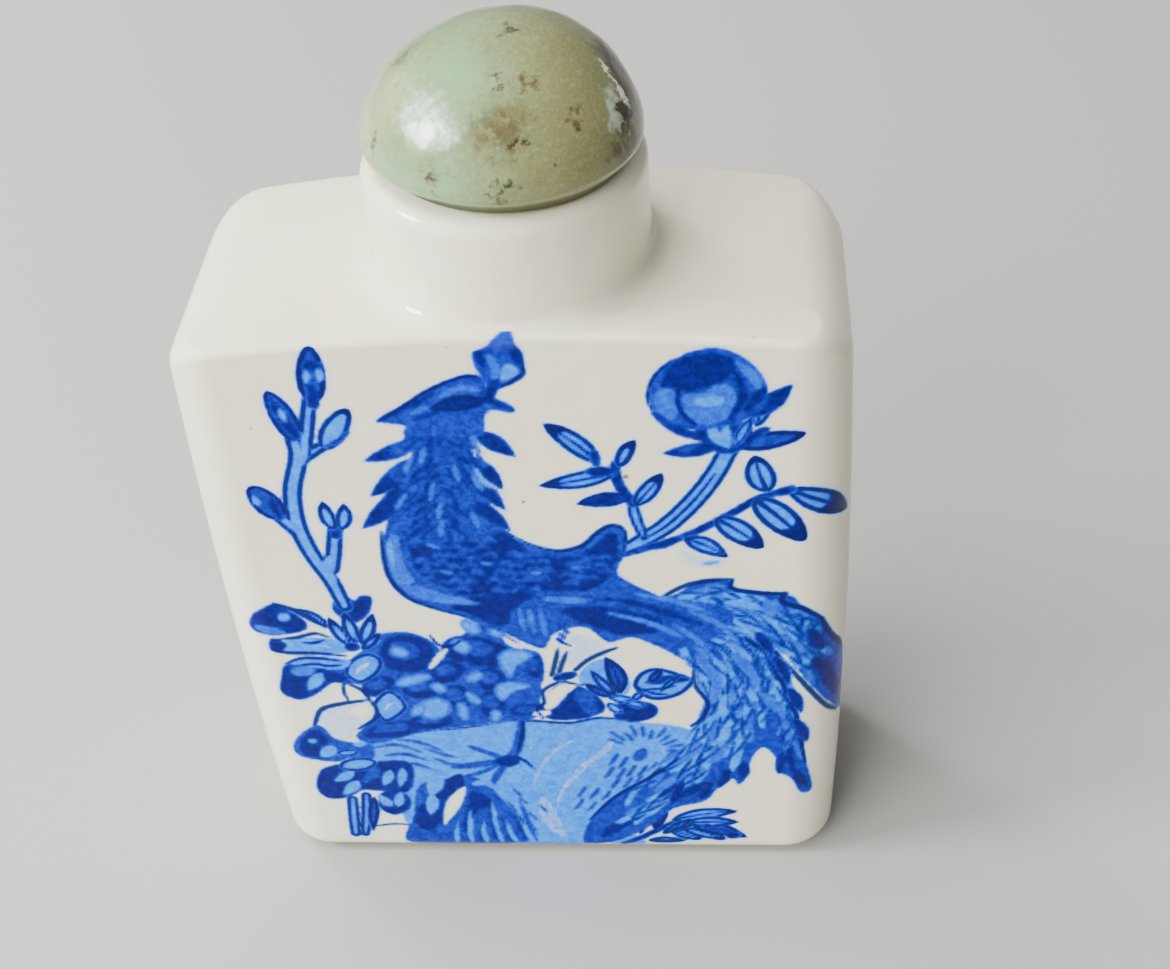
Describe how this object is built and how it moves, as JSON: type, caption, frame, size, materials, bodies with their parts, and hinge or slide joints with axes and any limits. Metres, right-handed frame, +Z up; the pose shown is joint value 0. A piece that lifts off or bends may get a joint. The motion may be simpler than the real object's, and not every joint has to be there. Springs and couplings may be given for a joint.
{
  "type": "snuff bottle",
  "caption": "Small flat rectangular porcelain snuff bottle with a short wide neck, blue painted faces and a lift-off polished stone stopper.",
  "frame": {"origin": "middle of the underside of the foot", "axes": "+Z up through the neck, +X along the wide faces, -Y towards the front with the painted picture"},
  "size_m": [0.046, 0.0204, 0.0698],
  "materials": {
    "glazed_porcelain": "clear gloss glaze over a warm white body, with underglaze blue painting",
    "polished_jade": "polished pale green stone with olive and brown mottling"
  },
  "bodies": {
    "root": {"bottle": "glazed_porcelain", "stopper": "polished_jade"}
  },
  "joints": []
}
